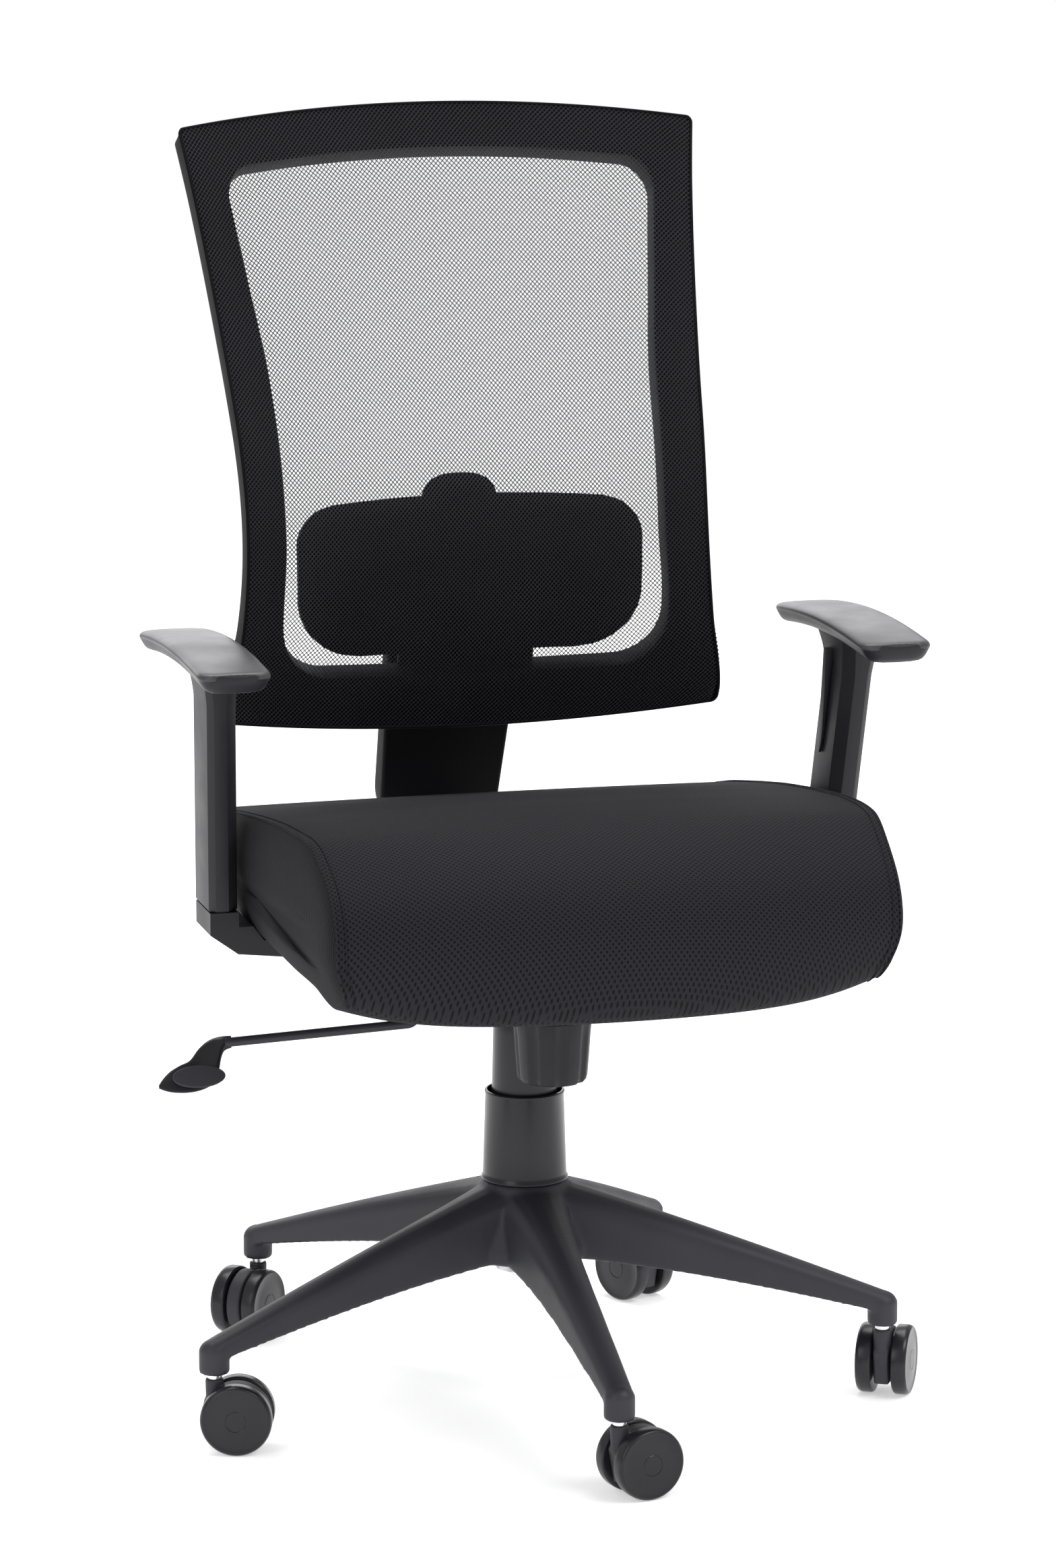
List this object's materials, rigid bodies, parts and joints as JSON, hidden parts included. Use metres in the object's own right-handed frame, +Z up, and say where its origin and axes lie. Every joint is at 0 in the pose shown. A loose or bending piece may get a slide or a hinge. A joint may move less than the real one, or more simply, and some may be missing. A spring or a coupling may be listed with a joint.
{
  "type": "swivel office chair",
  "caption": "Swivel office chair with an open mesh back, padded waterfall seat, height-adjustable T arms and a star base on twin-wheel casters.",
  "frame": {"origin": "on the floor, on the swivel axis", "axes": "+Z up; the chair faces -Y; the sitter's left is +X"},
  "size_m": [0.6573, 0.7104, 1.0716],
  "materials": {
    "nylon": "fine textured",
    "smooth_black": "smooth satin",
    "wheel": "satin face, polished tread",
    "steel": "bright zinc",
    "black_steel": "black powder coat",
    "bright_stem": "bright plated",
    "seat_fabric": "woven spacer mesh",
    "back_net": "open net",
    "pad_skin": "soft matte skin",
    "frame_plastic": "fine textured",
    "board": "moulded"
  },
  "bodies": {
    "base": {"star_base": "nylon", "gas_spring_tube": "steel", "guide_bushing": "board", "thrust_bearing": "steel", "column_cover_lower": "smooth_black", "caster_stems": "bright_stem"},
    "piston": {"piston_rod": "steel", "retaining_clip": "steel"},
    "chassis": {"pressure_cylinder": "steel", "column_cover_upper": "smooth_black", "mechanism_housing": "black_steel", "pivot_pin": "steel", "tilt_spring": "steel"},
    "knob": {"tension_knob": "frame_plastic", "tension_bolt": "steel"},
    "nut": {"tension_saddle": "black_steel"},
    "lock": {"lock_collar": "black_steel", "lever_fulcrum_pin": "steel"},
    "lever": {"lever_rod": "black_steel", "lever_paddle": "smooth_black"},
    "release": {"valve_pin": "steel"},
    "seat": {"seat_plate": "black_steel", "seat_pan": "board", "seat_cushion": "seat_fabric", "pan_screws": "steel", "arm_bracket_left": "frame_plastic", "arm_bracket_right": "frame_plastic", "bracket_screws": "steel", "back_bar": "black_steel", "back_bar_cover": "frame_plastic", "back_screws": "steel", "back_frame": "frame_plastic", "back_mesh": "back_net"},
    "lumbar": {"lumbar_plate": "frame_plastic"},
    "arm_left": {"arm_sleeve_left": "frame_plastic", "arm_pad_left": "pad_skin"},
    "arm_right": {"arm_sleeve_right": "frame_plastic", "arm_pad_right": "pad_skin"},
    "release_left": {"arm_lever_left": "frame_plastic"},
    "release_right": {"arm_lever_right": "frame_plastic"},
    "caster_1": {"caster_housing_1": "nylon", "caster_axle_1": "steel"},
    "wheel_1_left": {"caster_wheel_1_left": "wheel"},
    "wheel_1_right": {"caster_wheel_1_right": "wheel"},
    "caster_2": {"caster_housing_2": "nylon", "caster_axle_2": "steel"},
    "wheel_2_left": {"caster_wheel_2_left": "wheel"},
    "wheel_2_right": {"caster_wheel_2_right": "wheel"},
    "caster_3": {"caster_housing_3": "nylon", "caster_axle_3": "steel"},
    "wheel_3_left": {"caster_wheel_3_left": "wheel"},
    "wheel_3_right": {"caster_wheel_3_right": "wheel"},
    "caster_4": {"caster_housing_4": "nylon", "caster_axle_4": "steel"},
    "wheel_4_left": {"caster_wheel_4_left": "wheel"},
    "wheel_4_right": {"caster_wheel_4_right": "wheel"},
    "caster_5": {"caster_housing_5": "nylon", "caster_axle_5": "steel"},
    "wheel_5_left": {"caster_wheel_5_left": "wheel"},
    "wheel_5_right": {"caster_wheel_5_right": "wheel"}
  },
  "joints": [
    {"name": "swivel", "type": "hinge", "parent": "base", "child": "piston", "pos_m": [0, 0, 0.12], "axis": [0, 0, 1], "continuous": true},
    {"name": "seat_lift", "type": "slide", "parent": "piston", "child": "chassis", "axis": [0, 0, 1], "range_m": [-0.045, 0.04]},
    {"name": "tilt", "type": "hinge", "parent": "chassis", "child": "seat", "pos_m": [0, -0.055, 0.386], "axis": [-1, 0, 0], "range_deg": [0, 15], "stiffness_Nm_per_rad": 60, "springref_deg": -34.38, "deforming": ["tilt_spring"]},
    {"name": "tension", "type": "hinge", "parent": "chassis", "child": "knob", "pos_m": [0, -0.092, 0.33], "axis": [0, 0, 1], "range_deg": [0, 1080]},
    {"name": "saddle_travel", "type": "slide", "parent": "chassis", "child": "nut", "axis": [0, 0, 1], "range_m": [-0.0079, 0]},
    {"name": "tilt_lock", "type": "slide", "parent": "chassis", "child": "lock", "axis": [-1, 0, 0], "range_m": [-0.012, 0]},
    {"name": "lever_lift", "type": "hinge", "parent": "lock", "child": "lever", "pos_m": [-0.057, -0.022, 0.356], "axis": [0, 1, 0], "range_deg": [0, 3.5], "stiffness_Nm_per_rad": 1.5, "springref_deg": -5.73},
    {"name": "valve_press", "type": "slide", "parent": "chassis", "child": "release", "axis": [0, 0, 1], "range_m": [-0.0036, 0]},
    {"name": "lumbar_height", "type": "hinge", "parent": "seat", "child": "lumbar", "pos_m": [0, 0.475, 0.683], "axis": [-1, 0, 0], "range_deg": [0, 6.7]},
    {"name": "arm_height_left", "type": "slide", "parent": "seat", "child": "arm_left", "axis": [0.0423, -0.2011, 0.9787], "range_m": [0, 0.065]},
    {"name": "arm_release_left", "type": "hinge", "parent": "arm_left", "child": "release_left", "pos_m": [0.2559, -0.0127, 0.548], "axis": [0, -1, 0], "range_deg": [0, 6], "stiffness_Nm_per_rad": 0.6, "springref_deg": -2.86},
    {"name": "arm_height_right", "type": "slide", "parent": "seat", "child": "arm_right", "axis": [-0.0423, -0.2011, 0.9787], "range_m": [0, 0.065]},
    {"name": "arm_release_right", "type": "hinge", "parent": "arm_right", "child": "release_right", "pos_m": [-0.2559, -0.0127, 0.548], "axis": [0, 1, 0], "range_deg": [0, 6], "stiffness_Nm_per_rad": 0.6, "springref_deg": -2.86},
    {"name": "caster_1_swivel", "type": "hinge", "parent": "base", "child": "caster_1", "pos_m": [0, -0.305, 0.05], "axis": [0, 0, 1], "continuous": true},
    {"name": "wheel_1_left_spin", "type": "hinge", "parent": "caster_1", "child": "wheel_1_left", "pos_m": [0.01847, -0.30053, 0.03], "axis": [-0.2351, 0.972, 0], "continuous": true},
    {"name": "wheel_1_right_spin", "type": "hinge", "parent": "caster_1", "child": "wheel_1_right", "pos_m": [0.01847, -0.30053, 0.03], "axis": [-0.2351, 0.972, 0], "continuous": true},
    {"name": "caster_2_swivel", "type": "hinge", "parent": "base", "child": "caster_2", "pos_m": [0.29007, -0.09425, 0.05], "axis": [0, 0, 1], "continuous": true},
    {"name": "wheel_2_left_spin", "type": "hinge", "parent": "caster_2", "child": "wheel_2_left", "pos_m": [0.29928, -0.07763, 0.03], "axis": [-0.8746, 0.4848, 0], "continuous": true},
    {"name": "wheel_2_right_spin", "type": "hinge", "parent": "caster_2", "child": "wheel_2_right", "pos_m": [0.29928, -0.07763, 0.03], "axis": [-0.8746, 0.4848, 0], "continuous": true},
    {"name": "caster_3_swivel", "type": "hinge", "parent": "base", "child": "caster_3", "pos_m": [0.17927, 0.24675, 0.05], "axis": [0, 0, 1], "continuous": true},
    {"name": "wheel_3_left_spin", "type": "hinge", "parent": "caster_3", "child": "wheel_3_left", "pos_m": [0.17056, 0.26363, 0.03], "axis": [-0.8886, -0.4587, 0], "continuous": true},
    {"name": "wheel_3_right_spin", "type": "hinge", "parent": "caster_3", "child": "wheel_3_right", "pos_m": [0.17056, 0.26363, 0.03], "axis": [-0.8886, -0.4587, 0], "continuous": true},
    {"name": "caster_4_swivel", "type": "hinge", "parent": "base", "child": "caster_4", "pos_m": [-0.17927, 0.24675, 0.05], "axis": [0, 0, 1], "continuous": true},
    {"name": "wheel_4_left_spin", "type": "hinge", "parent": "caster_4", "child": "wheel_4_left", "pos_m": [-0.19186, 0.23252, 0.03], "axis": [0.749, -0.6626, 0], "continuous": true},
    {"name": "wheel_4_right_spin", "type": "hinge", "parent": "caster_4", "child": "wheel_4_right", "pos_m": [-0.19186, 0.23252, 0.03], "axis": [0.749, -0.6626, 0], "continuous": true},
    {"name": "caster_5_swivel", "type": "hinge", "parent": "base", "child": "caster_5", "pos_m": [-0.29007, -0.09425, 0.05], "axis": [0, 0, 1], "continuous": true},
    {"name": "wheel_5_left_spin", "type": "hinge", "parent": "caster_5", "child": "wheel_5_left", "pos_m": [-0.27187, -0.09971, 0.03], "axis": [0.2874, 0.9578, 0], "continuous": true},
    {"name": "wheel_5_right_spin", "type": "hinge", "parent": "caster_5", "child": "wheel_5_right", "pos_m": [-0.27187, -0.09971, 0.03], "axis": [0.2874, 0.9578, 0], "continuous": true}
  ],
  "couplings": [
    {"joint": "saddle_travel", "follows": "tension", "m_per_rad": -0.0004},
    {"joint": "valve_press", "follows": "lever_lift", "m_per_rad": -0.0575}
  ]
}
